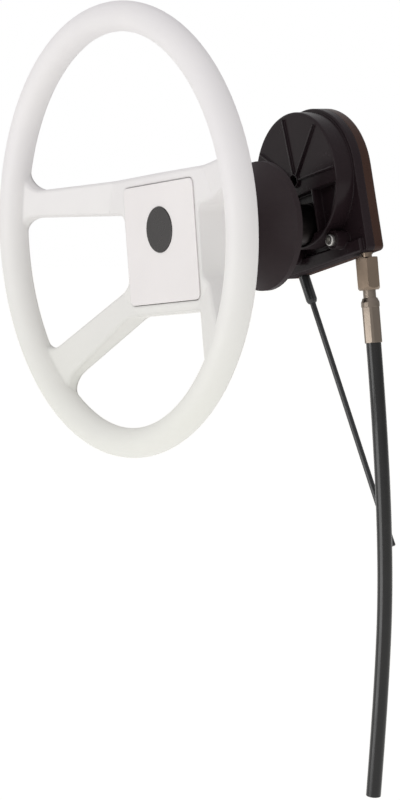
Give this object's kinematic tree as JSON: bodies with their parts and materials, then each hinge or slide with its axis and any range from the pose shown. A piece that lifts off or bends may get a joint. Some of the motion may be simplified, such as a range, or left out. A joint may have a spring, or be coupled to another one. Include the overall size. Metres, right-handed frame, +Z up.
{
  "type": "boat steering wheel and helm with cable",
  "caption": "Dished spoked boat steering wheel on a geared rotary helm, with dash bezel, push-pull steering cable and spent tube.",
  "frame": {"origin": "where the steering shaft's axis crosses the dashboard, at the plane of the bezel's rear edge", "axes": "+Y forward along the shaft through the dashboard, away from the driver; +Z up; +X to the driver's right"},
  "size_m": [0.35, 0.2347, 0.6357],
  "materials": {
    "wheel_white": "satin",
    "pad_white": "satin",
    "badge_black": "gloss",
    "zinc_steel": "satin",
    "gear_steel": "satin",
    "core_steel": "satin",
    "drum_plastic": "matt",
    "bush_plastic": "matt",
    "case_black": "semi-gloss",
    "cover_brown": "semi-gloss",
    "nose_metal": "satin",
    "bezel_black": "matt",
    "sleeve_metal": "satin",
    "cable_black": "satin",
    "tube_black": "satin"
  },
  "bodies": {
    "helm": {"front_housing": "case_black", "rear_cover": "cover_brown", "drum_axle": "zinc_steel", "axle_nut": "zinc_steel", "case_screws": "zinc_steel", "case_nuts": "zinc_steel", "nose_tube": "nose_metal", "front_bush": "bush_plastic", "rear_bush": "bush_plastic", "clamp_nut": "nose_metal", "bezel": "bezel_black", "cable_spout": "zinc_steel", "coupling_nut": "zinc_steel", "crimp_sleeve": "sleeve_metal", "cable": "cable_black", "core_wire": "core_steel", "spent_collar": "tube_black", "spent_tube": "tube_black", "tube_cap": "tube_black"},
    "wheel": {"steering_wheel": "wheel_white", "wheel_pad": "pad_white", "pad_badge": "badge_black", "hub_insert": "zinc_steel", "steering_shaft": "zinc_steel", "shaft_key": "zinc_steel", "wheel_washer": "zinc_steel", "wheel_nut": "zinc_steel", "pinion": "gear_steel"},
    "drum": {"drum_gear": "drum_plastic"}
  },
  "joints": [
    {"name": "wheel_spin", "type": "hinge", "parent": "helm", "child": "wheel", "pos_m": [0, 0, 0], "axis": [0, 1, 0], "range_deg": [-630, 630]},
    {"name": "drum_spin", "type": "hinge", "parent": "helm", "child": "drum", "pos_m": [-0.00932, 0, 0.03477], "axis": [0, 1, 0], "range_deg": [-127, 127]}
  ],
  "couplings": [
    {"joint": "drum_spin", "follows": "wheel_spin", "ratio": 0.2}
  ]
}
